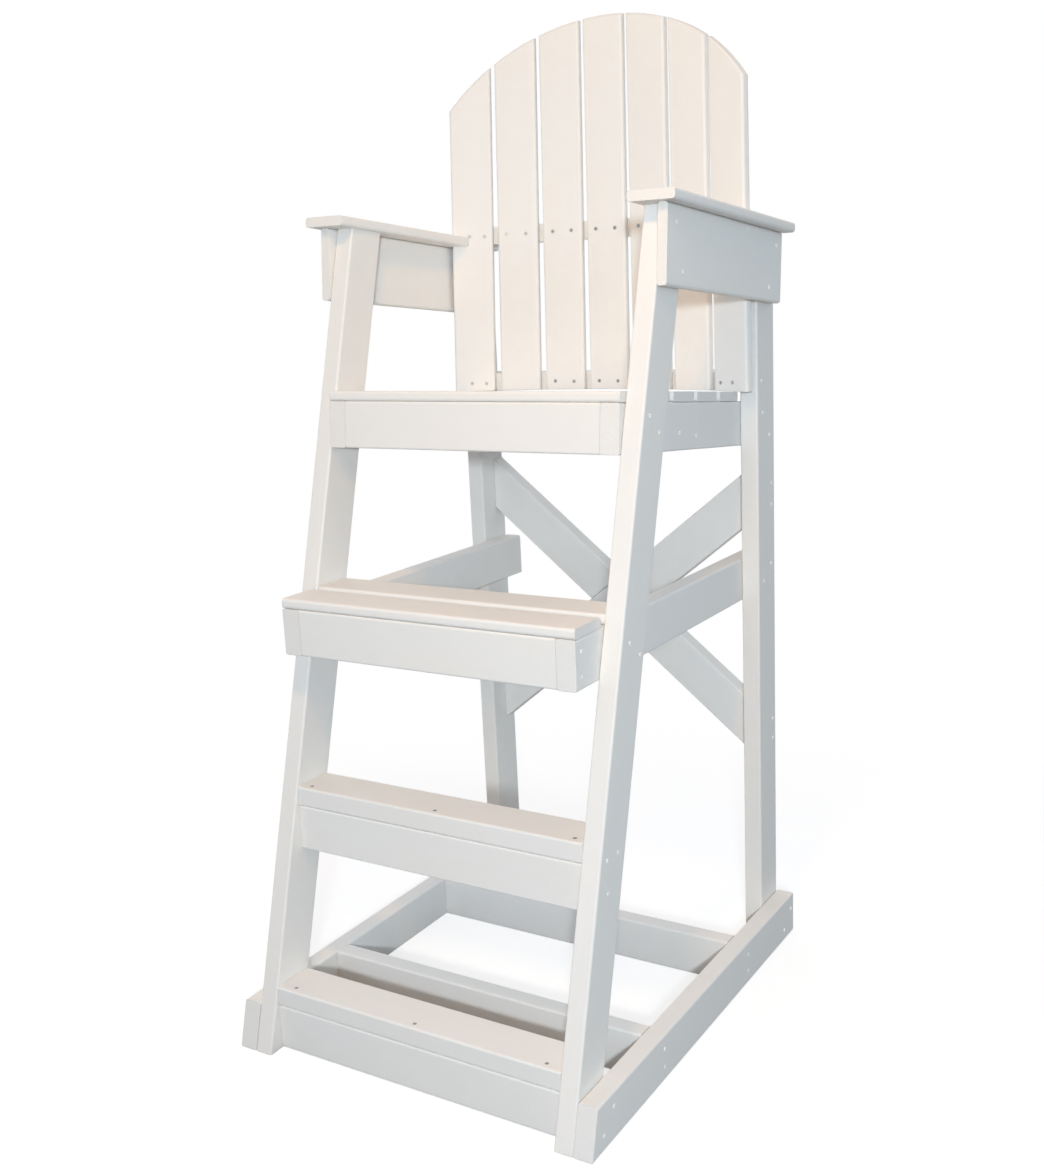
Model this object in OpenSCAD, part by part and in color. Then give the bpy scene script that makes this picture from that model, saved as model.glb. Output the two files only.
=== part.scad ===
// Lifeguard chair: front ladder stand built from square-edged plastic lumber.
// Origin: floor level, middle of the width and of the overall length.
// +X is the right-hand side seen from the front, +Y runs to the rear, +Z is up.

/* [Base] */
// Width across the outer faces of the legs
frame_w = 706; // [600:2:860]
// Length of the base along the floor
base_len = 930; // [840:5:1100]
// Centre of the front cross board, from the front
cross_front_y = 277; // [180:1:330]
// Centre of the rear cross board, from the front
cross_rear_y = 671; // [480:1:700]

/* [Lumber] */
// Thickness of the heavy boards
board_t = 38; // [30:0.5:42]
// Width of the heavy boards
board_w = 89; // [75:1:95]
// Thickness of the light boards
slat_t = 19; // [15:0.5:24]
// Radius of the heavy boards' eased edges
ease_r = 4; // [1:0.5:6]
// Radius of the light boards' eased edges
slat_ease = 6; // [1:0.5:7]

/* [Ladder] */
// Lean of the front legs from upright, in degrees
leg_lean = 15.6; // [10:0.1:18]
// Height of the lower step's top
step_h = 127; // [127:1:180]
// Rise from one step to the next
step_rise = 373.5; // [320:0.5:390]

/* [Footrest] */
// How far the footrest stands ahead of the legs
foot_over = 103; // [60:1:140]
// Gap between the two footrest boards
foot_gap = 18; // [6:1:24]

/* [Seat] */
// Height of the seat's front edge
seat_h = 1244; // [1200:1:1320]
// How far the seat stands ahead of the legs
seat_over = 22; // [0:1:40]
// Slope of seat and arms, down to the rear, in degrees
seat_tilt = 5.2; // [0:0.1:8]
// Gap between the seat boards
seat_gap = 16; // [6:1:18]
// Clearance between the seat and the lower back rail
seat_clear = 1; // [1:0.5:10]

/* [Arms] */
// Height of the arms' front edge
arm_h = 1572; // [1500:1:1660]
// How far the arms stand ahead of the legs
arm_over = 49; // [10:1:80]
// How far the arms run on past the rear legs
arm_tail = 13; // [5:1:40]
// How far the arms reach inside the legs
arm_in = 10; // [0:1:30]
// Height of the panel under each arm
panel_h = 138; // [90:1:160]

/* [Back] */
// Gap between the back slats
back_gap = 11; // [5:1:14]
// How far the outer slats reach past the inner faces of the legs
back_reach = 26; // [20:1:36]
// Depth of the hollow of the back
back_hollow = 72.6; // [50:0.1:80]
// Recline of the back from upright, in degrees
back_recline = 1.35; // [0:0.05:3]
// Lean of a slat towards the middle, for each place from it, in degrees
back_fan = 0.39; // [0:0.01:0.5]
// Height of the top of the back
back_h = 1955; // [1860:1:2100]
// How far the arch along the top falls from the middle to the sides
arch_drop = 168; // [80:1:240]
// Bevel along the arched tops
arch_bevel = 3.5; // [1:0.5:6]

/* [Brace] */
// Height of the braces' lower corners
brace_low = 416; // [300:1:500]
// Space between the braces and the seat rails
brace_gap = 42; // [10:1:80]

/* [Hidden] */
// Clearance where one board seats on another
fit = 0.2;
far = 3000;
$fn = 24;
// Number of boards in the seat and the back, one node each
seat_n = 5;
back_n = 7;
half_w = frame_w / 2;
half_in = half_w - board_t;
rail_x = half_in - board_t - fit;
rear_y = base_len - board_w;
// Front edge of the front legs at a height
function leg_y(h) = h * tan(leg_lean);
foot_h = step_h + 2 * step_rise;
foot_y = leg_y(foot_h) - foot_over;
// Arms, and the panels under them, from the arms' front edge
arm_y = leg_y(arm_h) - arm_over;
arm_len = (base_len + arm_tail - arm_y) / cos(seat_tilt);
arm_x = half_in - arm_in;
panel_drop = slat_t + fit + panel_h;
panel_y = (leg_y(arm_h - panel_drop * cos(seat_tilt)) - arm_y + panel_drop * sin(seat_tilt))
  / (cos(seat_tilt) + tan(leg_lean) * sin(seat_tilt));
panel_len = (base_len - arm_y) / cos(seat_tilt) - panel_y;
// Hollow of the back for a slat width: radius, and angle of the outer slats
back_x = half_in + back_reach;
back_mid = (back_n - 1) / 2;
function hollow_r(w) =
  (back_x * back_x + back_hollow * back_hollow - w * w / 4) / (2 * back_hollow);
function hollow_a(w) = asin(back_x / sqrt(pow(hollow_r(w), 2) + w * w / 4))
  - atan(w / 2 / hollow_r(w));
// Slat width that leaves the chosen gap, found by repeated fitting
function slat_width(w, n) = n == 0 ? w
  : slat_width(hollow_r(w) * hollow_a(w) * PI / 180 / back_mid - back_gap, n - 1);
back_w = slat_width(90, 20);
back_r = hollow_r(back_w);
back_a = hollow_a(back_w);
back_step = back_a / back_mid;
back_pitch = back_w + back_gap;
// Underside of the upper back rail, level with the arms
rail_up_h = arm_h - (rear_y - arm_y) * tan(seat_tilt) - slat_t + 3;
back_ref = rail_up_h + board_t / 2;
// The outer slats lie against the front of the rear legs
back_y = rear_y - fit + back_r - (back_r + slat_t - half_in * sin(back_a)) / cos(back_a);
// Underside of the lower back rail, just above the seat
seat_y = leg_y(seat_h) - seat_over;
function seat_top(y) = seat_h - (y - seat_y) * tan(seat_tilt);
rail_low_h = seat_top(rear_y) + 1;
rail_front = rear_y - fit - (back_ref - rail_low_h) * tan(back_recline);
slat_foot = seat_top(rail_front - slat_t / cos(back_a)) + fit;
// The seat boards fill the seat from its front edge to the lower back rail
seat_len = (rail_front - seat_clear - seat_y) / cos(seat_tilt);
seat_w = (seat_len - (seat_n - 1) * seat_gap) / seat_n;
// Arch of the top, drawn with the slats laid side by side
arch_x = back_mid * back_pitch + back_w / 2;
arch_r = (arch_x * arch_x + arch_drop * arch_drop) / (2 * arch_drop);
arch_z = (back_h - back_ref) / cos(back_recline) - arch_r;
// Brace angle: underside at brace_low on one side, top below the seat rail on the other
brace_top = seat_h - (slat_t + fit + board_w) / cos(seat_tilt)
  - (base_len - seat_y) * tan(seat_tilt) - brace_gap;
brace_run = 2 * (half_in - fit);
function brace_angle(a, n) = n == 0 ? a
  : brace_angle(atan((brace_top - brace_low - board_w / cos(a)) / brace_run), n - 1);
brace_a = brace_angle(35, 20);
brace_mid = brace_low + brace_run / 2 * tan(brace_a);

// Moves a piece so that the origin lies under the middle of the chair
module place() { translate([0, -(base_len + arm_tail) / 2, 0]) children(); }

// ---- helpers ----

// Board section with eased corners, from the corner of its box
module section(a, b, r = ease_r) {
  translate([r, 0]) square([a - 2 * r, b]);
  translate([0, r]) square([a, b - 2 * r]);
  for (u = [r, a - r], v = [r, b - r]) translate([u, v]) circle(r = r);
}
// Boards running along each axis, drawn from the corner of their box
module bar_x(l, a, b, r = ease_r) { rotate([90, 0, 90]) linear_extrude(l) section(a, b, r); }
module bar_y(a, l, b, r = ease_r) {
  translate([0, l, 0]) rotate([90, 0, 0]) linear_extrude(l) section(a, b, r);
}
module bar_z(a, b, l, r = ease_r) { linear_extrude(l) section(a, b, r); }
// Boards across the chair, x either side of the middle, heavy and light
module across(x, y, z, a, b) { translate([-x, y, z]) bar_x(2 * x, a, b); }
module across_light(x, y, z, a) { translate([-x, y, z]) bar_x(2 * x, a, slat_t, slat_ease); }
// Turns a right-hand part into a left-hand one when s is -1
module hand(s) { if (s < 0) mirror([1, 0, 0]) children(); else children(); }
// Frame of the seat: top front edge, sloping down to the rear
module seat_frame() { translate([0, seat_y, seat_h]) rotate([-seat_tilt, 0, 0]) children(); }
// Frame of the arms: top front edge, sloping down to the rear
module arm_frame() { translate([0, arm_y, arm_h]) rotate([-seat_tilt, 0, 0]) children(); }
// Keeps what lies above the floor and under the arms
module under_arm() {
  difference() {
    children();
    arm_frame() translate([-far, -far, -slat_t - fit]) cube([2 * far, 2 * far, far]);
    translate([-far, -far, -far]) cube([2 * far, 2 * far, far]);
  }
}
// Plane of back slat i: middle of its front face at the height of the upper rail
module slat_plane(i) {
  translate([0, back_y, back_ref]) rotate([-back_recline, 0, 0])
    translate([0, -back_r, 0]) rotate([0, 0, (back_mid - i) * back_step])
      translate([0, back_r, 0]) children();
}
// Frame of back slat i, leaning towards the middle within its plane
module slat_frame(i) { slat_plane(i) rotate([0, (back_mid - i) * back_fan, 0]) children(); }
// Everything ahead of the flat seats cut in the back rails, one behind each slat
module slat_seats() {
  intersection_for (i = [0 : back_n - 1]) slat_plane(i) translate([-far, -far, -far / 2])
    cube([2 * far, far + slat_t + fit, far]);
}
// Notches in the arms where the outer slats pass through
module slat_notches() {
  for (i = [0, back_n - 1]) slat_frame(i) translate([-back_w / 2 - fit, -fit, -far / 2])
    cube([back_w + 2 * fit, slat_t + 2 * fit, far]);
}

// ---- base and legs ----

module front_leg(s) {
  color("white") hand(s) under_arm() translate([half_in, 0, 0])
    rotate([-leg_lean, 0, 0]) translate([0, 0, -board_w]) bar_z(board_t, board_w, arm_h * 1.2);
}
module rear_leg(s) {
  color("white") hand(s) under_arm() translate([half_in, rear_y, -board_w])
    bar_z(board_t, board_w, arm_h * 1.2);
}
module base_runner(s) {
  color("white") hand(s) difference() {
    translate([half_w + fit, -board_w, 0]) bar_y(board_t, base_len + board_w, board_w);
    rotate([-leg_lean, 0, 0]) translate([0, -far, -far / 2]) cube([far, far, far]);
  }
}
module base_cross(y) {
  color("white") across(half_w, y - board_t / 2, 0, board_t, board_w);
}

// ---- steps ----

module tread(h) {
  color("white") across(half_in - fit, leg_y(h), h - board_t, board_w, board_t);
}
module riser(h) {
  color("white") across(half_in - fit, leg_y(h), h - board_t - board_w, board_t, board_w - fit);
}

// ---- footrest ----

module footrest_rail(s) {
  color("white") hand(s) translate([rail_x, foot_y, foot_h - slat_t - fit - board_w])
    bar_y(board_t, base_len - foot_y, board_w);
}
module footrest_fascia() {
  color("white") across(rail_x - fit, foot_y, foot_h - slat_t - fit - board_w, board_t, board_w);
}
module footrest_board(k) {
  color("white")
    across_light(half_in - fit, foot_y + k * (board_w + foot_gap), foot_h - slat_t, board_w);
}

// ---- seat ----

module seat_rail(s) {
  color("white") hand(s) difference() {
    seat_frame() translate([rail_x, 0, -slat_t - fit - board_w]) bar_y(board_t, base_len, board_w);
    translate([-far, base_len, 0]) cube([2 * far, far, far]);
  }
}
module seat_apron() {
  color("white") seat_frame()
    across(rail_x - fit, 0, -slat_t - fit - board_w, board_t, board_w);
}
module seat_slat(k) {
  color("white") seat_frame()
    across_light(half_in - fit, k * (seat_w + seat_gap), -slat_t, seat_w);
}

// ---- back ----

module back_rail(half, z) {
  color("white") difference() {
    across(half, rear_y - board_w / 2, z, board_w * 1.5, board_t);
    slat_seats();
  }
}
// Board as thick as a slat with an arched, bevelled top, in the plane of the slats
module arched_board() {
  c = arch_bevel;
  translate([-far, 0, -far]) cube([2 * far, slat_t, far]);
  rotate([-90, 0, 0]) rotate_extrude($fn = 180)
    polygon([[0, 0], [arch_r - c, 0], [arch_r, c], [arch_r, slat_t - c],
      [arch_r - c, slat_t], [0, slat_t]]);
}
module back_slat(i) {
  color("white") difference() {
    intersection() {
      slat_frame(i) translate([-back_w / 2, 0, -back_ref])
        bar_z(back_w, slat_t, back_h + board_w, slat_ease);
      slat_plane(i) translate([(back_mid - i) * back_pitch, 0, arch_z]) arched_board();
    }
    translate([-far, 0, -far]) cube([2 * far, far, far + slat_foot]);
  }
}

// ---- arms ----

module arm(s) {
  color("white") difference() {
    hand(s) arm_frame() translate([arm_x, 0, -slat_t]) bar_y(board_w, arm_len, slat_t, slat_ease);
    slat_notches();
  }
}
module arm_panel(s) {
  color("white") hand(s) arm_frame()
    translate([half_w + fit, panel_y, -slat_t - fit - panel_h])
      bar_y(slat_t, panel_len, panel_h, slat_ease);
}

// ---- rear brace ----

// Band of a brace rising to the right, widened by g along both edges
module brace_band(g) {
  translate([0, base_len - board_t - g, brace_mid]) rotate([0, -brace_a, 0])
    translate([-far / 2, 0, -g]) cube([far, board_t + 2 * g, board_w + 2 * g]);
}
module brace(s) {
  hand(s) intersection() {
    translate([0, base_len - board_t, brace_mid]) rotate([0, -brace_a, 0])
      translate([-far / 2, 0, 0]) bar_x(far, board_t, board_w);
    translate([-brace_run / 2, 0, 0]) cube([brace_run, far, far]);
  }
}
module brace_long() { color("white") brace(1); }
// The other diagonal in two pieces, butted on the long one
module brace_short(s) {
  color("white") intersection() {
    difference() { brace(-1); brace_band(fit); }
    translate([s < 0 ? -far : 0, 0, 0]) cube([far, far, far]);
  }
}

place() front_leg(-1);  // front_leg_left
place() front_leg(1);  // front_leg_right
place() rear_leg(-1);  // rear_leg_left
place() rear_leg(1);  // rear_leg_right
place() base_runner(-1);  // base_runner_left
place() base_runner(1);  // base_runner_right
place() base_cross(cross_front_y);  // base_cross_front
place() base_cross(cross_rear_y);  // base_cross_rear
place() tread(step_h);  // lower_step_tread
place() riser(step_h);  // lower_step_riser
place() tread(step_h + step_rise);  // upper_step_tread
place() riser(step_h + step_rise);  // upper_step_riser
place() footrest_rail(-1);  // footrest_rail_left
place() footrest_rail(1);  // footrest_rail_right
place() footrest_fascia();
place() footrest_board(0);  // footrest_board_front
place() footrest_board(1);  // footrest_board_rear
place() seat_rail(-1);  // seat_rail_left
place() seat_rail(1);  // seat_rail_right
place() seat_apron();
place() seat_slat(0);  // seat_slat_1
place() seat_slat(1);  // seat_slat_2
place() seat_slat(2);  // seat_slat_3
place() seat_slat(3);  // seat_slat_4
place() seat_slat(4);  // seat_slat_5
place() back_rail(half_in - fit, rail_low_h);  // back_rail_lower
place() back_rail(arm_x - fit, rail_up_h);  // back_rail_upper
place() back_slat(0);  // back_slat_1
place() back_slat(1);  // back_slat_2
place() back_slat(2);  // back_slat_3
place() back_slat(3);  // back_slat_4
place() back_slat(4);  // back_slat_5
place() back_slat(5);  // back_slat_6
place() back_slat(6);  // back_slat_7
place() arm(-1);  // arm_left
place() arm(1);  // arm_right
place() arm_panel(-1);  // arm_panel_left
place() arm_panel(1);  // arm_panel_right
place() brace_long();
place() brace_short(-1);  // brace_short_upper
place() brace_short(1);  // brace_short_lower
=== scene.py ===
"""Finishes, screws, floor, light and camera for a lifeguard chair of white plastic lumber.

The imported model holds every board. This script dresses the boards, drives the screws that
hold them together, and sets the chair up in a plain studio. Lengths are in metres.
"""

import logging
import math
import random
from collections.abc import Iterable, Mapping
from dataclasses import dataclass, field
from enum import Enum

import bmesh
import bpy
import numpy as np
from mathutils import Euler, Matrix, Vector
from mathutils.geometry import intersect_line_line


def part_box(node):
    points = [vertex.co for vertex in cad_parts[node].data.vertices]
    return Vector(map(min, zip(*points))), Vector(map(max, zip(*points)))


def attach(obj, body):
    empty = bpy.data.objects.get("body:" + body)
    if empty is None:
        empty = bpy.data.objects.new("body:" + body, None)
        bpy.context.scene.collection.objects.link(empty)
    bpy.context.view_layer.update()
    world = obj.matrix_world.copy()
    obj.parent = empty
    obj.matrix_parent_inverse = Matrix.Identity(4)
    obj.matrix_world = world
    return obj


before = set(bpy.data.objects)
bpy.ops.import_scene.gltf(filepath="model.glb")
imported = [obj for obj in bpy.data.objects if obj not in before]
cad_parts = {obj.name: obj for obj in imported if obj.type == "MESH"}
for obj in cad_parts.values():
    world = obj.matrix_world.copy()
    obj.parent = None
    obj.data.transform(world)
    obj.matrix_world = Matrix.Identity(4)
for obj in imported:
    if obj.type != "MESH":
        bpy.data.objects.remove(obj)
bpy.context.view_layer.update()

log = logging.getLogger("lifeguard_chair")

MM = 0.001
SQUARE_ON = 0.2  # a smaller cosine than this counts as square to a direction
WHITE = (1.0, 1.0, 1.0, 1.0)
RIGHT_LEGS = ("front_leg_right", "rear_leg_right")

Triple = tuple[float, float, float]
Colour = Triple
Range = tuple[float, ...]


# ---- boards and screws as the maker sees them ----


@dataclass(frozen=True)
class Board:
    """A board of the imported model, with its own directions and sizes."""

    name: str
    centre: Vector
    along: Vector
    across: Vector
    through: Vector
    size: Vector

    @classmethod
    def of(cls, name: str) -> "Board":
        """Reads a board's directions from its faces.

        Args:
            name: The board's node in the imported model.

        Returns:
            The board: its broad faces look along through, and its length runs along.
        """
        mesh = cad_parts[name].data
        normals = np.array([p.normal for p in mesh.polygons])
        areas = np.array([p.area for p in mesh.polygons])
        through = cls._widest(normals, areas)
        edge_on = np.abs(normals @ through) < SQUARE_ON
        across = cls._widest(normals[edge_on], areas[edge_on])
        along = np.cross(across, through)
        turn = np.array([along, across, through])
        places = np.array([v.co for v in mesh.vertices]) @ turn.T
        low, high = places.min(0), places.max(0)
        centre = turn.T @ ((low + high) / 2)
        return cls(name, Vector(centre), Vector(along), Vector(across), Vector(through),
                   Vector(high - low))

    @staticmethod
    def _widest(normals: np.ndarray, areas: np.ndarray) -> np.ndarray:
        """Finds the direction that the largest area of a mesh faces, either way round.

        Args:
            normals: Each face's direction.
            areas: Each face's area.

        Returns:
            The direction, of length 1.
        """
        largest = np.abs(normals).argmax(axis=1)
        signs = np.sign(normals[np.arange(len(normals)), largest])
        keys = np.round(normals * signs[:, None], 2)
        ways, group = np.unique(keys, axis=0, return_inverse=True)
        totals = np.bincount(group.ravel(), weights=areas, minlength=len(ways))
        way = ways[totals.argmax()]
        return way / np.linalg.norm(way)

    def face(self, towards: Vector) -> Vector:
        """Gives the direction of the broad face that looks towards a direction."""
        return self.through if self.through.dot(towards) > 0 else -self.through

    def on_face(self, towards: Vector, height: float) -> Vector:
        """Finds a point on the board's middle line, on one of its broad faces.

        Args:
            towards: The direction that the wanted face looks, roughly.
            height: The point's height above the floor.

        Returns:
            The point on the face.
        """
        run = (height - self.centre.z) / self.along.z
        return self.centre + self.along * run + self.face(towards) * self.size.z / 2

    def meets(self, other: "Board") -> Vector:
        """Finds where this board's middle line passes another board's.

        Args:
            other: The other board.

        Returns:
            The point on this board's line that is nearest to the other's.
        """
        found = intersect_line_line(self.centre, self.centre + self.along,
                                    other.centre, other.centre + other.along)
        return found[0]


class Slant(Enum):
    """How the two screws of a pair stand, as steps to the rear and up."""

    RISING = (1, 1)
    FALLING = (1, -1)
    UPRIGHT = (0, 1)
    LEVEL = (1, 0)


@dataclass(frozen=True)
class Drive:
    """A screw's place on a face, and the way that its head looks."""

    seat: Vector
    facing: Vector

    def mirrored(self) -> "Drive":
        """Gives the same screw on the other side of the chair."""
        flip = Matrix.Diagonal((-1, 1, 1))
        return Drive(flip @ self.seat, flip @ self.facing)


RIGHT, FRONT, UP = Vector((1, 0, 0)), Vector((0, -1, 0)), Vector((0, 0, 1))


def side_pair(face_x: float, centre: Vector, slant: Slant, reach: float, rise: float,
              shift: tuple[float, float] = (0, 0)) -> list[Drive]:
    """Places two screws on a face that looks to the side, on both sides of the chair.

    Args:
        face_x: How far the face stands from the middle of the chair.
        centre: The point midway between the screws; only its y and z are used.
        slant: How the two screws stand.
        reach: Half their distance along the chair.
        rise: Half their distance in height.
        shift: How far the pair stands to the rear of the centre, and above it.

    Returns:
        Four screws, two on each side.
    """
    step = Vector((0, slant.value[0] * reach, slant.value[1] * rise))
    middle = Vector((face_x, centre.y + shift[0], centre.z + shift[1]))
    drives = [Drive(middle - step, RIGHT), Drive(middle + step, RIGHT)]
    return drives + [drive.mirrored() for drive in drives]


def both_sides(seat: Vector) -> list[Drive]:
    """Places one screw on a face that looks to the right, and its twin on the left."""
    drive = Drive(seat, RIGHT)
    return [drive, drive.mirrored()]


# ---- node trees ----


class Bench:
    """A node tree, with short calls that add a node and wire its inputs."""

    def __init__(self, tree: bpy.types.NodeTree) -> None:
        """Takes the tree that the nodes go into, and empties it."""
        self.tree = tree
        tree.nodes.clear()

    def add(self, kind: str, inputs: Mapping[str | int, object] | None = None,
            **settings: object) -> bpy.types.Node:
        """Adds a node.

        Args:
            kind: The node's type name.
            inputs: Sockets by name or number, each with a value or a socket to wire in.
            **settings: The node's own properties.

        Returns:
            The new node.
        """
        node = self.tree.nodes.new(kind)
        for name, value in settings.items():
            setattr(node, name, value)
        for key, value in (inputs or {}).items():
            if isinstance(value, bpy.types.NodeSocket):
                self.tree.links.new(value, node.inputs[key])
            else:
                node.inputs[key].default_value = value
        return node

    def math(self, operation: str, *values: object, clamp: bool = False) -> bpy.types.NodeSocket:
        """Adds a Math node on up to three values or sockets and gives its result."""
        return self.add("ShaderNodeMath", dict(enumerate(values)), operation=operation,
                        use_clamp=clamp).outputs[0]

    def vector(self, operation: str, *values: object) -> bpy.types.Node:
        """Adds a Vector Math node on its first inputs and gives the node."""
        return self.add("ShaderNodeVectorMath", dict(enumerate(values)), operation=operation)

    def noise(self, place: bpy.types.NodeSocket, scale: float, detail: float = 2.0,
              **more: float) -> bpy.types.NodeSocket:
        """Adds a Noise Texture and gives its value.

        Args:
            place: The coordinates that it reads.
            scale: Features to the metre, or to one unit of place.
            detail: Octaves.
            **more: Other inputs by name, such as Roughness.

        Returns:
            The socket of its value, from 0 to 1.
        """
        return self.add("ShaderNodeTexNoise",
                        {"Vector": place, "Scale": scale, "Detail": detail, **more}).outputs[0]

    def ramp(self, value: bpy.types.NodeSocket, low: float, high: float, start: float = 0.0,
             end: float = 1.0) -> bpy.types.NodeSocket:
        """Turns a value that runs from low to high smoothly into one from start to end."""
        return self.add("ShaderNodeMapRange",
                        {"Value": value, "From Min": low, "From Max": high,
                         "To Min": start, "To Max": end},
                        interpolation_type="SMOOTHSTEP").outputs[0]

    def mix(self, share: object, first: object, second: object) -> bpy.types.NodeSocket:
        """Blends two colours by a share from 0 to 1."""
        return self.add("ShaderNodeMix", {0: share, 6: first, 7: second},
                        data_type="RGBA").outputs[2]

    def shade(self, colour: object, factor: object) -> bpy.types.NodeSocket:
        """Multiplies a colour by a factor."""
        return self.vector("SCALE", colour, (0, 0, 0), (0, 0, 0), factor).outputs[0]


def opaque(colour: Iterable[float]) -> tuple[float, ...]:
    """Adds full alpha to a colour."""
    return (*colour, 1.0)


# ---- finishes ----


@dataclass(frozen=True)
class PlasticLumber:
    """Solid white plastic lumber, brushed lengthwise, with eased edges and sawn ends.

    Scales are in features to the metre. A swing is how far a pattern moves the tone or the
    roughness in all, and a range gives a ramp's ends and, where they aren't 0 and 1, its results.
    """

    name: str
    tone: Colour
    board_spread: float = 0.012
    roughness: float = 0.58
    ior: float = 1.5
    specular: float = 0.3

    streak_scales: Triple = (5, 260, 260)
    hair_scales: Triple = (18, 1100, 1100)
    pebble_scale: float = 420.0
    mottle_scale: float = 30.0
    broad_scale: float = 2.2
    wear_scale: float = 55.0
    pore_scale: float = 900.0

    streak_swing: float = 0.016
    mottle_swing: float = 0.035
    broad_swing: float = 0.04
    pebble_swing: float = 0.03
    rough_mottle_swing: float = 0.16
    rough_streak_swing: float = 0.12

    warming: Colour = (1.0, 0.985, 0.965)
    warm_range: Range = (0.35, 0.7)
    rubbed_tone: Colour = (0.95, 0.94, 0.92)
    rubbed_share: float = 0.35
    rubbed_polish: float = 0.06
    rubbed_range: Range = (0.35, 0.65, 0.3, 1.0)
    edge_width: float = 7 * MM
    edge_full: float = 1.5 * MM

    # pore shade: the sawn ends' pores are painted dark, as the shade inside the pits
    pore_shade: Colour = (0.44, 0.43, 0.41)
    pore_range: Range = (0.56, 0.70, 0.04, 0.34)
    end_range: Range = (0.86, 0.93)
    sawn_roughness: float = 0.2

    # dust and painted shade: a dusty colour laid into the corners between boards, where shade
    # falls
    dust_and_shade: Colour = (0.50, 0.46, 0.41)
    corner_shade_reach: float = 16 * MM
    dust_and_shade_range: Range = (0.3, 0.7, 0.10, 0.30)
    corner_range: Range = (0.78, 0.25)

    pebble: float = 0.022
    brushing: float = 0.018
    sawing: float = 0.12
    easing: float = 2 * MM

    def surface(self) -> bpy.types.NodeTree:
        """Builds the shared surface: colour, roughness and relief from a board's own place, with
        painted shade in the corners between boards and in the pores of the sawn ends.

        Returns:
            The node group, with the inputs Grain, Half Size, Axis and Tone.
        """
        made = bpy.data.node_groups.get(f"{self.name}_surface")
        if made:
            return made
        tree = bpy.data.node_groups.new(f"{self.name}_surface", "ShaderNodeTree")
        for name, kind in (("Grain", "Vector"), ("Half Size", "Vector"), ("Axis", "Vector"),
                           ("Tone", "Color")):
            tree.interface.new_socket(name, in_out="INPUT", socket_type=f"NodeSocket{kind}")
        for name, kind in (("Color", "Color"), ("Roughness", "Float"), ("Normal", "Vector")):
            tree.interface.new_socket(name, in_out="OUTPUT", socket_type=f"NodeSocket{kind}")
        bench = Bench(tree)
        given = bench.add("NodeGroupInput")
        grain = given.outputs["Grain"]

        streaked = bench.vector("MULTIPLY", grain, self.streak_scales).outputs[0]
        brushed = bench.noise(streaked, 1.0, 3.0, Roughness=0.6)
        haired = bench.vector("MULTIPLY", grain, self.hair_scales).outputs[0]
        fine = bench.noise(haired, 1.0)
        pebbled = bench.noise(grain, self.pebble_scale, 2.0)
        mottled = bench.noise(grain, self.mottle_scale, 3.0)
        broad = bench.noise(grain, self.broad_scale, 1.0)
        worn = bench.noise(grain, self.wear_scale, 5.0, Roughness=0.7)
        edge = self._edge(bench, given)
        end = self._end(bench, given)
        dust_and_shade = self._dust_and_shade(bench, worn)
        pores = bench.noise(grain, self.pore_scale, 3.0)

        lift: object = 1.0
        for pattern, swing in ((brushed, self.streak_swing), (mottled, self.mottle_swing),
                               (broad, self.broad_swing), (pebbled, self.pebble_swing)):
            lift = bench.math("ADD", lift, self._signed(bench, pattern, swing))
        colour = bench.shade(given.outputs["Tone"], lift)
        warmed = bench.vector("MULTIPLY", colour, self.warming).outputs[0]
        colour = bench.mix(bench.ramp(broad, *self.warm_range), colour, warmed)
        rubbed = bench.math("MULTIPLY", edge, bench.ramp(worn, *self.rubbed_range))
        colour = bench.mix(bench.math("MULTIPLY", rubbed, self.rubbed_share), colour,
                           opaque(self.rubbed_tone))
        # painted shade in the pores of the sawn ends
        pore_shade_mask = bench.math("MULTIPLY", end, bench.ramp(pores, *self.pore_range))
        colour = bench.mix(pore_shade_mask, colour, opaque(self.pore_shade))
        # painted shade: corners between boards darkened from ambient occlusion, partly as dust
        colour = bench.mix(dust_and_shade, colour, opaque(self.dust_and_shade))

        rough: object = self.roughness
        for pattern, swing in ((mottled, self.rough_mottle_swing),
                               (brushed, self.rough_streak_swing)):
            rough = bench.math("ADD", rough, self._signed(bench, pattern, swing))
        polish = bench.math("MULTIPLY", rubbed, -self.rubbed_polish)
        sawn = bench.math("MULTIPLY", end, self.sawn_roughness)
        rough = bench.math("ADD", bench.math("ADD", rough, polish), sawn, clamp=True)

        relief = bench.math("MULTIPLY", pebbled, self.pebble)
        relief = bench.math("ADD", relief, bench.math("MULTIPLY", brushed, self.brushing))
        relief = bench.math("ADD", relief, bench.math("MULTIPLY", fine, self.brushing / 4))
        pits = bench.math("MULTIPLY", end, bench.math("MULTIPLY", pores, self.sawing))
        relief = bench.math("ADD", relief, pits)
        eased = bench.add("ShaderNodeBevel", {"Radius": self.easing}, samples=4)
        normal = bench.add("ShaderNodeBump",
                           {"Height": relief, "Distance": MM, "Strength": 1.0,
                            "Normal": eased.outputs[0]})
        bench.add("NodeGroupOutput", {"Color": colour, "Roughness": rough,
                                      "Normal": normal.outputs[0]})
        return tree

    @staticmethod
    def _signed(bench: Bench, value: bpy.types.NodeSocket, swing: float) -> bpy.types.NodeSocket:
        """Turns a value from 0 to 1 into a swing either side of nothing."""
        return bench.math("MULTIPLY_ADD", value, swing, -swing / 2)

    def _edge(self, bench: Bench, given: bpy.types.Node) -> bpy.types.NodeSocket:
        """Marks the board's long edges, from its place in the section.

        Args:
            bench: The tree's bench.
            given: The group's input node.

        Returns:
            1 along the edges, and 0 away from them.
        """
        place = bench.vector("ABSOLUTE", given.outputs["Grain"]).outputs[0]
        left = bench.vector("SUBTRACT", given.outputs["Half Size"], place).outputs[0]
        apart = bench.add("ShaderNodeSeparateXYZ", {0: left})
        depth = bench.math("MAXIMUM", apart.outputs["Y"], apart.outputs["Z"])
        return bench.ramp(depth, self.edge_width, self.edge_full)

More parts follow.
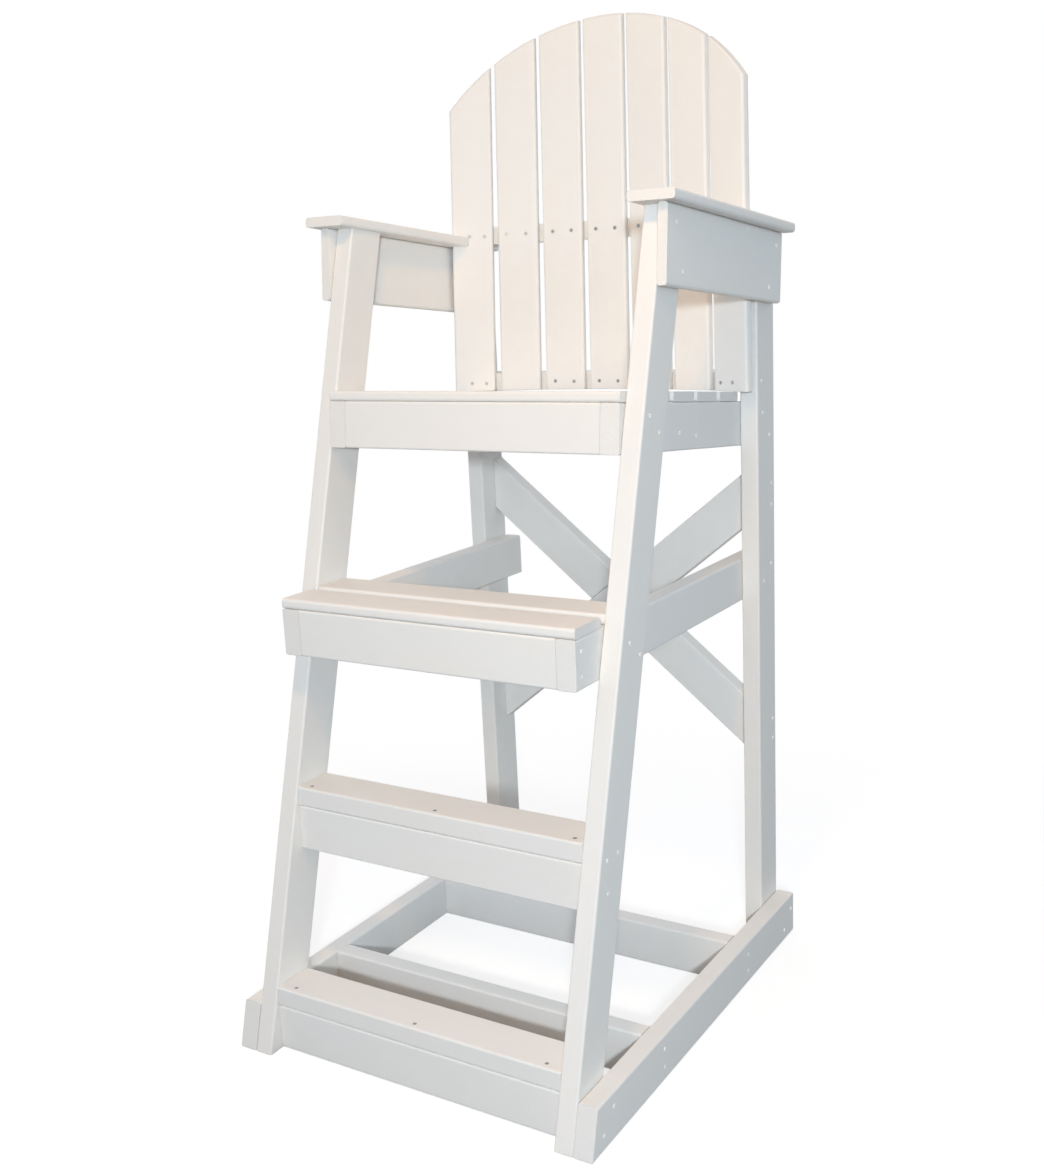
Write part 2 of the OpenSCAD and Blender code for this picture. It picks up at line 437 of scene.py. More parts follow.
    def _end(self, bench: Bench, given: bpy.types.Node) -> bpy.types.NodeSocket:
        """Marks the sawn ends, which look along the board.

        Args:
            bench: The tree's bench.
            given: The group's input node.

        Returns:
            1 on the ends, and 0 elsewhere.
        """
        normal = bench.add("ShaderNodeNewGeometry").outputs["Normal"]
        facing = bench.vector("DOT_PRODUCT", normal, given.outputs["Axis"]).outputs["Value"]
        return bench.ramp(bench.math("ABSOLUTE", facing), *self.end_range)

    def _dust_and_shade(self, bench: Bench, worn: bpy.types.NodeSocket) -> bpy.types.NodeSocket:
        """Marks the corners between boards for painted shade, broken up like dust that gathers
        there.

        Args:
            bench: The tree's bench.
            worn: The pattern that breaks the dust and the painted shade up.

        Returns:
            How much of the dust-and-shade colour shows: painted shade in the corners, partly
            dust.
        """
        # ambient occlusion finds the shaded corners, and their darkening is painted shade
        open_air = bench.add("ShaderNodeAmbientOcclusion", {"Distance": self.corner_shade_reach},
                             samples=6).outputs["AO"]
        closed = bench.ramp(open_air, *self.corner_range)
        return bench.math("MULTIPLY", closed, bench.ramp(worn, *self.dust_and_shade_range))

    def material(self, board: Board) -> bpy.types.Material:
        """Makes one board's material, turned to its grain and with its own tone.

        Args:
            board: The board that it goes on.

        Returns:
            The material.
        """
        draw = random.Random(board.name)
        material = bpy.data.materials.new(f"{self.name}_{board.name}")
        material.use_nodes = True
        bench = Bench(material.node_tree)
        turn = Matrix((board.along, board.across, board.through))
        place = bench.add("ShaderNodeTexCoord").outputs["Object"]
        grain = bench.add("ShaderNodeMapping",
                          {"Vector": place, "Rotation": turn.to_euler("XYZ"),
                           "Location": -(turn @ board.centre)})
        share = 1 + draw.uniform(-self.board_spread, self.board_spread)
        look = bench.add("ShaderNodeGroup", node_tree=self.surface())
        bench.tree.links.new(grain.outputs[0], look.inputs["Grain"])
        look.inputs["Half Size"].default_value = board.size / 2
        look.inputs["Axis"].default_value = board.along
        look.inputs["Tone"].default_value = opaque(c * share for c in self.tone)
        shader = bench.add("ShaderNodeBsdfPrincipled",
                           {"Base Color": look.outputs["Color"],
                            "Roughness": look.outputs["Roughness"],
                            "Normal": look.outputs["Normal"],
                            "IOR": self.ior, "Specular IOR Level": self.specular})
        bench.add("ShaderNodeOutputMaterial", {"Surface": shader.outputs[0]})
        return material

    def dress(self, names: Iterable[str]) -> None:
        """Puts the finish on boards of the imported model.

        Args:
            names: The boards' nodes.
        """
        for name in names:
            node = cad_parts[name]
            node.data.materials.clear()
            node.data.materials.append(self.material(Board.of(name)))


@dataclass(frozen=True)
class ScrewSteel:
    """Satin stainless steel, turned on its head, with painted glint: heads on faces that look to
    the side are painted bright, and those facing front or up darker.
    """

    name: str = "screw_steel"
    tone: Colour = (0.97, 0.97, 0.98)
    roughness: float = 0.5
    ring_pitch: float = 0.35 * MM
    ring_depth: float = 0.01 * MM
    # how much darker the heads that face front or up are painted, as painted shade against the
    # painted glint at the sides
    dimming_depth: float = 0.5
    head_spread: float = 0.15
    stain_scale: float = 700.0
    stain_range: Range = (0.3, 0.75, 1.0, 0.9)
    stain_roughness: float = 0.2

    def material(self) -> bpy.types.Material:
        """Makes the steel, which reads each head's own place and tone.

        Returns:
            The material.
        """
        material = bpy.data.materials.new(self.name)
        material.use_nodes = True
        bench = Bench(material.node_tree)
        place = bench.add("ShaderNodeAttribute", attribute_name="head_place").outputs["Vector"]
        tint = bench.add("ShaderNodeAttribute", attribute_name="head_tone").outputs["Fac"]
        dimmed = bench.add("ShaderNodeAttribute", attribute_name="painted_dimming").outputs["Fac"]
        world = bench.add("ShaderNodeTexCoord").outputs["Object"]
        radius = bench.vector("LENGTH", place).outputs["Value"]
        rings = bench.math("SINE", bench.math("MULTIPLY", radius, 2 * math.pi / self.ring_pitch))
        stain = bench.noise(world, self.stain_scale, 3.0)
        level = bench.math("MULTIPLY_ADD", tint, self.head_spread, 1 - self.head_spread)
        level = bench.math("MULTIPLY", level, bench.ramp(stain, *self.stain_range))
        # painted glint and shade: heads that look to the side keep their brightness, and those
        # facing front or up are painted darker
        kept = bench.math("MULTIPLY_ADD", dimmed, -self.dimming_depth, 1.0)
        level = bench.math("MULTIPLY", level, kept)
        colour = bench.shade(self.tone, level)
        stained = bench.math("MULTIPLY", stain, self.stain_roughness)
        rough = bench.math("ADD", self.roughness, stained)
        normal = bench.add("ShaderNodeBump", {"Height": rings, "Distance": self.ring_depth})
        shader = bench.add("ShaderNodeBsdfPrincipled",
                           {"Base Color": colour, "Metallic": 1.0, "Roughness": rough,
                            "Normal": normal.outputs[0]})
        bench.add("ShaderNodeOutputMaterial", {"Surface": shader.outputs[0]})
        return material


@dataclass(frozen=True)
class HoleShade:
    """Painted shade in a driver recess or countersink, mottled with dust."""

    name: str = "hole_shade"
    tone: Colour = (0.60, 0.58, 0.55)
    # how much darker the recesses that face front or up are painted
    dimming_depth: float = 0.84
    roughness: float = 0.85
    specular: float = 0.2
    dust_scale: float = 1500.0
    dust_range: Range = (0.35, 0.75, 0.6, 1.4)
    dust_depth: float = 0.05 * MM

    def material(self) -> bpy.types.Material:
        """Makes the shade, mottled with dust.

        Returns:
            The material.
        """
        material = bpy.data.materials.new(self.name)
        material.use_nodes = True
        bench = Bench(material.node_tree)
        place = bench.add("ShaderNodeTexCoord").outputs["Object"]
        dimmed = bench.add("ShaderNodeAttribute", attribute_name="painted_dimming").outputs["Fac"]
        dust = bench.ramp(bench.noise(place, self.dust_scale, 3.0), *self.dust_range)
        # painted shade: recesses that face front or up are painted darker than those that look to
        # the side
        kept = bench.math("MULTIPLY_ADD", dimmed, -self.dimming_depth, 1.0)
        colour = bench.shade(self.tone, bench.math("MULTIPLY", dust, kept))
        normal = bench.add("ShaderNodeBump", {"Height": dust, "Distance": self.dust_depth})
        shader = bench.add("ShaderNodeBsdfPrincipled",
                           {"Base Color": colour, "Roughness": self.roughness,
                            "Normal": normal.outputs[0], "Specular IOR Level": self.specular})
        bench.add("ShaderNodeOutputMaterial", {"Surface": shader.outputs[0]})
        return material


# ---- screws ----


@dataclass
class ScrewHead:
    """Countersunk screws with a six-lobed recess, set out by Geometry Nodes."""

    head_radius: float = 3.7 * MM
    head_rise: float = 0.35 * MM
    bevel: float = 0.3 * MM
    sink_width: float = 0.2 * MM
    lobes: int = 6
    lobe_radius: float = 1.65 * MM
    lobe_fillet: float = 0.28 * MM
    waist_radius: float = 1.1 * MM
    floor_lift: float = 0.05 * MM
    sides: int = 24
    seed: int = 7
    wander: float = 0.8 * MM
    finish: ScrewSteel = field(default_factory=ScrewSteel)
    shade: HoleShade = field(default_factory=HoleShade)
    tree: bpy.types.NodeTree | None = None

    def inputs(self) -> dict[str, float]:
        """Names the tree's sizes and gives their values."""
        return {"Head Radius": self.head_radius, "Head Rise": self.head_rise,
                "Bevel": self.bevel, "Sink Width": self.sink_width,
                "Lobe Radius": self.lobe_radius, "Waist Radius": self.waist_radius}

    def build_tree(self) -> bpy.types.NodeTree:
        """Builds the tree that sets a head on every point, turned to look as it should.

        Returns:
            The tree, with named inputs for the head's sizes, its sides and the seed.
        """
        tree = bpy.data.node_groups.new("screw_heads", "GeometryNodeTree")
        tree.interface.new_socket("Seats", in_out="INPUT", socket_type="NodeSocketGeometry")
        for name in self.inputs():
            tree.interface.new_socket(name, in_out="INPUT", socket_type="NodeSocketFloat")
        for name in ("Sides", "Seed"):
            tree.interface.new_socket(name, in_out="INPUT", socket_type="NodeSocketInt")
        tree.interface.new_socket("Screws", in_out="OUTPUT", socket_type="NodeSocketGeometry")
        bench = Bench(tree)
        given = bench.add("NodeGroupInput").outputs
        head = self._head(bench, given)
        placed = bench.add("GeometryNodeStoreNamedAttribute",
                           {"Geometry": head, "Name": "head_place",
                            "Value": bench.add("GeometryNodeInputPosition").outputs[0]},
                           data_type="FLOAT_VECTOR", domain="POINT").outputs[0]
        facing = bench.add("GeometryNodeInputNamedAttribute", {"Name": "facing"},
                           data_type="FLOAT_VECTOR").outputs[0]
        turn = bench.add("FunctionNodeAlignRotationToVector", {"Vector": facing}, axis="Z")
        angle = bench.add("FunctionNodeRandomValue",
                          {2: 0.0, 3: math.tau, "Seed": given["Seed"]}).outputs[1]
        spin = bench.add("FunctionNodeAxisAngleToRotation", {"Axis": (0, 0, 1), "Angle": angle})
        spun = bench.add("FunctionNodeRotateRotation",
                         {"Rotation": turn.outputs[0], "Rotate By": spin.outputs[0]},
                         rotation_space="LOCAL")
        heads = bench.add("GeometryNodeInstanceOnPoints",
                          {"Points": given["Seats"], "Instance": placed,
                           "Rotation": spun.outputs[0]})
        tone = bench.add("FunctionNodeRandomValue",
                         {2: 0.0, 3: 1.0, "Seed": bench.math("ADD", given["Seed"], 1.0)})
        toned = bench.add("GeometryNodeStoreNamedAttribute",
                          {"Geometry": heads.outputs[0], "Name": "head_tone",
                           "Value": tone.outputs[1]}, data_type="FLOAT", domain="INSTANCE")
        real = bench.add("GeometryNodeRealizeInstances", {"Geometry": toned.outputs[0]})
        steel = bench.add("GeometryNodeSetMaterial",
                          {"Geometry": real.outputs[0], "Material": self.finish.material()})
        sunk = bench.add("GeometryNodeInputNamedAttribute", {"Name": "sunk"},
                         data_type="BOOLEAN").outputs[0]
        # painted shade: the recess floor and the countersink ring get the dark hole shade
        dark = bench.add("GeometryNodeSetMaterial",
                         {"Geometry": steel.outputs[0], "Selection": sunk,
                          "Material": self.shade.material()})
        bench.add("NodeGroupOutput", {0: dark.outputs[0]})
        return tree

    def _head(self, bench: Bench, given: bpy.types.bpy_prop_collection) -> bpy.types.NodeSocket:
        """Builds one head that looks up: its face, rim, recess floor and countersink ring, the
        last two flat faces that carry painted shade.

        Args:
            bench: The tree's bench.
            given: The tree's inputs.

        Returns:
            The head's mesh, with its sunk faces, which get the painted shade, marked.
        """
        face_radius = bench.math("SUBTRACT", given["Head Radius"], given["Bevel"])
        sink_radius = bench.math("ADD", given["Head Radius"], given["Sink Width"])
        star = bench.add("GeometryNodeCurveStar",
                         {"Points": self.lobes, "Inner Radius": given["Waist Radius"],
                          "Outer Radius": given["Lobe Radius"]}).outputs[0]
        lobed = bench.add("GeometryNodeFilletCurve",
                          {"Curve": star, "Count": 2, "Radius": self.lobe_fillet},
                          mode="POLY").outputs[0]
        face = self._filled(bench, [self._circle(bench, given, face_radius), lobed],
                            given["Head Rise"])
        rim = bench.add("GeometryNodeMeshCone",
                        {"Vertices": given["Sides"], "Radius Top": face_radius,
                         "Radius Bottom": given["Head Radius"], "Depth": given["Head Rise"]},
                        fill_type="NONE").outputs[0]
        floor = self._filled(bench, [lobed], self.floor_lift)
        # countersink ring: a flat dark annulus round the head, painted shade where a countersink
        # would be shaded
        ring = self._filled(bench, [self._circle(bench, given, sink_radius),
                                    self._circle(bench, given, face_radius)], self.floor_lift)
        sunk = bench.add("GeometryNodeJoinGeometry")
        for part in (floor, ring):
            bench.tree.links.new(part, sunk.inputs[0])
        marked = bench.add("GeometryNodeStoreNamedAttribute",
                           {"Geometry": sunk.outputs[0], "Name": "sunk", "Value": True},
                           data_type="BOOLEAN", domain="FACE").outputs[0]
        head = bench.add("GeometryNodeJoinGeometry")
        for part in (face, rim, marked):
            bench.tree.links.new(part, head.inputs[0])
        return head.outputs[0]

    @staticmethod
    def _circle(bench: Bench, given: bpy.types.bpy_prop_collection,
                radius: bpy.types.NodeSocket) -> bpy.types.NodeSocket:
        """Draws a circle of the head's number of sides."""
        return bench.add("GeometryNodeCurvePrimitiveCircle",
                         {"Resolution": given["Sides"], "Radius": radius}).outputs[0]

    @staticmethod
    def _filled(bench: Bench, outlines: list[bpy.types.NodeSocket],
                height: object) -> bpy.types.NodeSocket:
        """Fills outlines, the inner ones as holes, and lifts the face to a height.

        Args:
            bench: The tree's bench.
            outlines: The curves to fill.
            height: How high the face goes, as a number or a socket.

        Returns:
            The face.
        """
        joined = bench.add("GeometryNodeJoinGeometry")
        for outline in outlines:
            bench.tree.links.new(outline, joined.inputs[0])
        filled = bench.add("GeometryNodeFillCurve", {"Curve": joined.outputs[0]}, mode="NGONS")
        lift = bench.add("ShaderNodeCombineXYZ", {"Z": height}).outputs[0]
        return bench.add("GeometryNodeTransform",
                         {"Geometry": filled.outputs[0], "Translation": lift}).outputs[0]

    def drive(self, name: str, drives: list[Drive]) -> bpy.types.Object:
        """Makes the screws of one sub-assembly as a plain mesh.

        Args:
            name: The new piece's name.
            drives: Where each screw goes.

        Returns:
            The piece, riding on the chair.
        """
        self.tree = self.tree or self.build_tree()
        draw = random.Random(name)
        seats = bpy.data.meshes.new(f"{name}_seats")
        seats.from_pydata([d.seat + self._wander(draw, d.facing) for d in drives], [], [])
        facing = seats.attributes.new("facing", "FLOAT_VECTOR", "POINT")
        facing.data.foreach_set("vector", [c for d in drives for c in d.facing])
        # painted dimming: 1 on faces that look front or up and 0 on faces that look to the side;
        # the steel and the hole shade paint glint and shade from it
        painted_dimming = seats.attributes.new("painted_dimming", "FLOAT", "POINT")
        painted_dimming.data.foreach_set("value", [1 - abs(d.facing.x) for d in drives])
        maker = bpy.data.objects.new(f"{name}_maker", seats)
        bpy.context.scene.collection.objects.link(maker)
        modifier = maker.modifiers.new("screws", "NODES")
        modifier.node_group = self.tree
        values = {**self.inputs(), "Sides": self.sides, "Seed": self.seed + len(drives)}
        for item in self.tree.interface.items_tree:
            if item.name in values:
                modifier[item.identifier] = values[item.name]
        ready = maker.evaluated_get(bpy.context.evaluated_depsgraph_get())
        mesh = bpy.data.meshes.new_from_object(ready)
        maker.modifiers.remove(modifier)
        bpy.data.objects.remove(maker)
        bpy.data.meshes.remove(seats)
        mesh.name = name
        piece = bpy.data.objects.new(name, mesh)
        bpy.context.scene.collection.objects.link(piece)
        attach(piece, "root")
        return piece

    def _wander(self, draw: random.Random, facing: Vector) -> Vector:
        """Moves a screw a little within its face, as hand-driven ones are."""
        step = Vector([draw.uniform(-self.wander, self.wander) for _ in range(3)])
        return step - facing * step.dot(facing)


# ---- sub-assemblies ----


@dataclass
class SubAssembly:
    """Boards that belong together, and the screws that show on them."""

    name: str
    boards: tuple[str, ...]
    finish: PlasticLumber

    def drives(self) -> list[Drive]:
        """Gives the screws that show; a plain sub-assembly has none."""
        return []

    def build(self, screws: ScrewHead) -> None:
        """Dresses the boards and drives their screws.

        Args:
            screws: The kind of screw that the chair uses.
        """
        self.finish.dress(self.boards)
        log.info("%s: %d boards dressed", self.name, len(self.boards))
        drives = self.drives()
        if drives:
            piece = screws.drive(f"screws_{self.name}", drives)
            log.info("%s: %d screws, %d faces", piece.name, len(drives),
                     len(piece.data.polygons))


HEAVY = PlasticLumber("frame_lumber", (0.87, 0.85, 0.825))
LIGHT = PlasticLumber("board_lumber", (0.885, 0.865, 0.84), roughness=0.55)


def outer_x(name: str) -> float:
    """Gives how far a board's outer face stands from the middle of the chair."""
    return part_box(name)[1].x


def middle(name: str) -> Vector:
    """Gives the middle of a board's box."""
    low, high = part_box(name)
    return (low + high) / 2


@dataclass
class Base(SubAssembly):
    """Runners on the floor and the two boards across them."""

    name: str = "base"
    boards: tuple[str, ...] = ("base_runner_left", "base_runner_right", "base_cross_front",
                               "base_cross_rear")
    finish: PlasticLumber = HEAVY
    leg_reach: float = 19.5 * MM
    leg_rise: float = 17 * MM
    leg_shifts: tuple[tuple[float, float], ...] = ((4 * MM, 1 * MM), (10 * MM, -3 * MM))
    cross_rise: float = 17.5 * MM

    def drives(self) -> list[Drive]:
        """Places the screws through the runners into the legs and the cross boards.

        Returns:
            The screws of both sides.
        """
        runner = Board.of("base_runner_right")
        face = outer_x(runner.name)
        found = []
        for leg, shift in zip(RIGHT_LEGS, self.leg_shifts):
            found += side_pair(face, Board.of(leg).meets(runner), Slant.RISING,
                               self.leg_reach, self.leg_rise, shift)
        for cross in ("base_cross_front", "base_cross_rear"):
            found += side_pair(face, middle(cross), Slant.UPRIGHT, 0, self.cross_rise)
        return found


@dataclass
class Ladder(SubAssembly):
    """Front legs with the two steps between them."""

    name: str = "ladder"
    boards: tuple[str, ...] = ("front_leg_left", "front_leg_right", "lower_step_tread",
                               "lower_step_riser", "upper_step_tread", "upper_step_riser")
    finish: PlasticLumber = HEAVY
    tread_reach: float = 20 * MM
    tread_shifts: tuple[tuple[float, float], ...] = ((0, 0), (-10 * MM, -10 * MM))
    top_insets: tuple[float, ...] = (35 * MM, 24 * MM)
    top_ahead: float = 4 * MM
    riser_drop: float = 6 * MM

    def drives(self) -> list[Drive]:
        """Places the screws through the legs into the steps, and down into the risers.

        Returns:
            The screws of both sides and of the treads.
        """
        face = outer_x("front_leg_right")
        found = []
        for step, shift, inset in zip(("lower_step", "upper_step"), self.tread_shifts,
                                      self.top_insets):
            tread, riser = f"{step}_tread", f"{step}_riser"
            found += side_pair(face, middle(tread), Slant.LEVEL, self.tread_reach, 0, shift)
            low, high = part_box(tread)
            ahead = middle(riser).y - self.top_ahead
            for x in (low.x + inset, 0, high.x - inset):
                found.append(Drive(Vector((x, ahead, high.z)), UP))
        riser = middle("upper_step_riser")
        into_riser = Vector((face, riser.y - self.top_ahead, riser.z - self.riser_drop))
        return found + both_sides(into_riser)


@dataclass
class RearLegs(SubAssembly):
    """Rear legs, with the screws into the lower back rail and the brace."""

    name: str = "rear_legs"
    boards: tuple[str, ...] = ("rear_leg_left", "rear_leg_right")
    finish: PlasticLumber = HEAVY
    rail_ahead: float = 20 * MM
    brace_rise: float = 22 * MM

    def drives(self) -> list[Drive]:
        """Places the screws through the rear legs.

        Returns:
            The screws of both sides.
        """
        face = outer_x("rear_leg_right")
        rail = middle("back_rail_lower")
        found = both_sides(Vector((face, rail.y - self.rail_ahead, rail.z)))
        brace = Board.of("brace_long")
        half_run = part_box("rear_leg_right")[0].x
        slope = abs(brace.along.z / brace.along.x)
        for way in (-1, 1):
            centre = Vector((0, brace.centre.y, brace.centre.z + way * half_run * slope))
            found += side_pair(face, centre, Slant.UPRIGHT, 0, self.brace_rise)
        return found


@dataclass
class Footrest(SubAssembly):
    """Rails and fascia of the footrest."""

    name: str = "footrest"
    boards: tuple[str, ...] = ("footrest_rail_left", "footrest_rail_right", "footrest_fascia")
    finish: PlasticLumber = HEAVY
    reach: float = 19 * MM
    rise: float = 15.5 * MM
    front_shift: tuple[float, float] = (6 * MM, 0)
    rear_shift: tuple[float, float] = (2 * MM, 11 * MM)
    fascia_rise: float = 22 * MM

    def drives(self) -> list[Drive]:
        """Places the screws through the legs into the rails, and through the rails' ends.

        Returns:
            The screws of both sides.
        """
        rail = Board.of("footrest_rail_right")
        face = outer_x("front_leg_right")
        front, rear = (Board.of(leg).meets(rail) for leg in RIGHT_LEGS)
        found = side_pair(face, front, Slant.FALLING, self.reach, self.rise, self.front_shift)
        found += side_pair(face, rear, Slant.RISING, self.reach, self.rise, self.rear_shift)
        found += side_pair(outer_x(rail.name), middle("footrest_fascia"), Slant.UPRIGHT, 0,
                           self.fascia_rise)
        return found


@dataclass
class Seat(SubAssembly):
    """Rails and apron under the seat."""

    name: str = "seat"
    boards: tuple[str, ...] = ("seat_rail_left", "seat_rail_right", "seat_apron")
    finish: PlasticLumber = HEAVY
    reach: float = 17 * MM
    front_rise: float = 16 * MM
    front_shift: tuple[float, float] = (1 * MM, 9.5 * MM)
    rear_rise: float = 24 * MM
    middle_shifts: tuple[tuple[float, float], ...] = ((-71 * MM, -12 * MM), (2 * MM, -18 * MM))

    def drives(self) -> list[Drive]:
        """Places the screws through the legs into the seat rails, and two in each rail.

        Returns:
            The screws of both sides.
        """
        rail = Board.of("seat_rail_right")
        face = outer_x("front_leg_right")
        front, rear = (Board.of(leg).meets(rail) for leg in RIGHT_LEGS)
        found = side_pair(face, front, Slant.FALLING, self.reach, self.front_rise,
                          self.front_shift)
        found += side_pair(face, rear, Slant.FALLING, self.reach, self.rear_rise)
        for back, up in self.middle_shifts:
            along = rail.along * (back / rail.along.y)
            seat = rail.centre + along + UP * up
            seat.x = outer_x(rail.name)
            found += both_sides(seat)
        return found


@dataclass
class Back(SubAssembly):
    """Hollow back of seven slats, screwed to both rails."""

    name: str = "back"
    boards: tuple[str, ...] = tuple(f"back_slat_{number}" for number in range(1, 8))
    finish: PlasticLumber = LIGHT
    rails: tuple[str, ...] = ("back_rail_lower", "back_rail_upper")
    inner_reach: float = 22 * MM
    outer_reach: float = 16 * MM
    outer_shift: float = 10 * MM

    def drives(self) -> list[Drive]:
        """Places two screws in each slat at each rail, further in on the outermost slats.

        Returns:
            The screws of all seven slats.
        """
        found = []
        for rail in self.rails:
            height = middle(rail).z
            for name in self.boards:
                slat = Board.of(name)
                outermost = name in (self.boards[0], self.boards[-1])
                inward = math.copysign(self.outer_shift, -slat.centre.x) if outermost else 0
                reach = self.outer_reach if outermost else self.inner_reach
                side = slat.across * math.copysign(1, slat.across.x)
                for way in (-1, 1):
                    seat = slat.on_face(FRONT, height) + side * (inward + way * reach)
                    found.append(Drive(seat, slat.face(FRONT)))
        return found


@dataclass
class BackRails(SubAssembly):
    """The two rails behind the slats."""

    name: str = "back_rails"
    boards: tuple[str, ...] = ("back_rail_lower", "back_rail_upper")
    finish: PlasticLumber = HEAVY


@dataclass
class Arms(SubAssembly):
    """Arms, and the panels that hang under them."""

    name: str = "arms"
    boards: tuple[str, ...] = ("arm_left", "arm_right", "arm_panel_left", "arm_panel_right")
    finish: PlasticLumber = LIGHT
    front_step: tuple[float, float] = (10 * MM, 42 * MM)
    front_shift: float = -10 * MM
    rear_step: tuple[float, float] = (21 * MM, 39 * MM)
    rear_shift: float = -9 * MM
    edge_drop: float = 9 * MM
    edge_place: float = 0.66

    def drives(self) -> list[Drive]:
        """Places the screws through the panels into the legs and the upper back rail.

        Returns:
            The screws of both sides.
        """
        panel = Board.of("arm_panel_right")
        face = outer_x(panel.name)
        front, rear = (Board.of(leg).meets(panel) for leg in RIGHT_LEGS)
        found = side_pair(face, front + Vector((0, self.front_shift, 0)), Slant.FALLING,
                          *self.front_step)
        found += side_pair(face, rear + Vector((0, self.rear_shift, 0)), Slant.RISING,
                           *self.rear_step)
        run = panel.along * math.copysign(panel.size.x, panel.along.y)
        drop = panel.across * math.copysign(panel.size.y / 2 - self.edge_drop, panel.across.z)
        high = panel.centre + run * (self.edge_place - 0.5) + drop
        return found + both_sides(Vector((face, high.y, high.z)))


@dataclass
class Brace(SubAssembly):
    """Cross brace between the rear legs: one long board and two short ones."""

    name: str = "brace"
    boards: tuple[str, ...] = ("brace_long", "brace_short_upper", "brace_short_lower")
    finish: PlasticLumber = HEAVY


# ---- studio ----


@dataclass(frozen=True)
class Surround:
    """Soft light from all round, with its own colour from each of six sides."""

    right: Colour = (0.28, 0.44, 0.54)
    left: Colour = (1.15, 1.22, 1.26)
    front: Colour = (0.36, 0.42, 0.46)
    back: Colour = (1.25, 1.33, 1.38)
    top: Colour = (0.41, 0.31, 0.29)
    bottom: Colour = (0.24, 0.25, 0.26)

    def build(self) -> None:
        """Makes the world: the six colours for light, plain white for the eye and gloss."""
        world = bpy.data.worlds.new("surround")
        bpy.context.scene.world = world
        world.use_nodes = True
        bench = Bench(world.node_tree)
        way = bench.add("ShaderNodeTexCoord").outputs["Generated"]
        parts = bench.add("ShaderNodeSeparateXYZ", {0: way}).outputs
        pairs = ((parts["X"], self.right, self.left), (parts["Y"], self.back, self.front),
                 (parts["Z"], self.top, self.bottom))
        total: object = (0.0, 0.0, 0.0)
        for part, ahead, behind in pairs:
            side = bench.math("GREATER_THAN", part, 0.0)
            colour = bench.mix(side, opaque(behind), opaque(ahead))
            lit = bench.shade(colour, bench.math("MULTIPLY", part, part))
            total = bench.vector("ADD", total, lit).outputs[0]
        light = bench.add("ShaderNodeBackground", {"Color": total, "Strength": 1.0})
        white = bench.add("ShaderNodeBackground", {"Color": WHITE, "Strength": 1.0})
        seen = seen_directly(bench)
        both = bench.add("ShaderNodeMixShader",
                         {0: seen, 1: light.outputs[0], 2: white.outputs[0]})
        bench.add("ShaderNodeOutputWorld", {"Surface": both.outputs[0]})


def seen_directly(bench: Bench) -> bpy.types.NodeSocket:
    """Tells the rays that see a thing from those that light by it.

    Args:
        bench: The tree's bench.

    Returns:
        1 for rays from the camera, from gloss or through glass, and 0 for the rest.
    """
    path = bench.add("ShaderNodeLightPath").outputs
    seen = bench.math("MAXIMUM", path["Is Camera Ray"], path["Is Glossy Ray"])
    return bench.math("MAXIMUM", seen, path["Is Transmission Ray"])


@dataclass(frozen=True)
class Floor:
    """A plain pale floor that fades to white and keeps the chair's shadow."""

    radius: float = 30.0
    sides: int = 64
    tone: Colour = (0.24, 0.24, 0.24)
    seen_tone: Colour = (0.50, 0.50, 0.50)
    glow: float = 0.64
    fade: Range = (0.7, 1.9)

    def build(self) -> bpy.types.Object:
        """Lays the floor.

        Returns:
            The floor.
        """
        shape = bmesh.new()
        bmesh.ops.create_circle(shape, cap_ends=True, radius=self.radius, segments=self.sides)
        mesh = bpy.data.meshes.new("floor")
        shape.to_mesh(mesh)
        shape.free()
        floor = bpy.data.objects.new("floor", mesh)
        bpy.context.scene.collection.objects.link(floor)
        mesh.materials.append(self.material())
        return floor

    def material(self) -> bpy.types.Material:
        """Makes the floor's paint: pale for light, lifted to white for the eye.

        Returns:
            The material.
        """
        material = bpy.data.materials.new("floor_paint")
        material.use_nodes = True
        bench = Bench(material.node_tree)
        plain = bench.add("ShaderNodeBsdfDiffuse", {"Color": opaque(self.tone)})
        soft = bench.add("ShaderNodeBsdfDiffuse", {"Color": opaque(self.seen_tone)})
        glow = bench.add("ShaderNodeEmission", {"Color": WHITE, "Strength": self.glow})
        white = bench.add("ShaderNodeEmission", {"Color": WHITE, "Strength": 1.0})
        lifted = bench.add("ShaderNodeAddShader", {0: soft.outputs[0], 1: glow.outputs[0]})
        place = bench.add("ShaderNodeTexCoord").outputs["Object"]
        far = bench.ramp(bench.vector("LENGTH", place).outputs["Value"], *self.fade)
        seen = bench.add("ShaderNodeMixShader",
                         {0: far, 1: lifted.outputs[0], 2: white.outputs[0]})
        both = bench.add("ShaderNodeMixShader",
                         {0: seen_directly(bench), 1: plain.outputs[0], 2: seen.outputs[0]})
        bench.add("ShaderNodeOutputMaterial", {"Surface": both.outputs[0]})
        return material


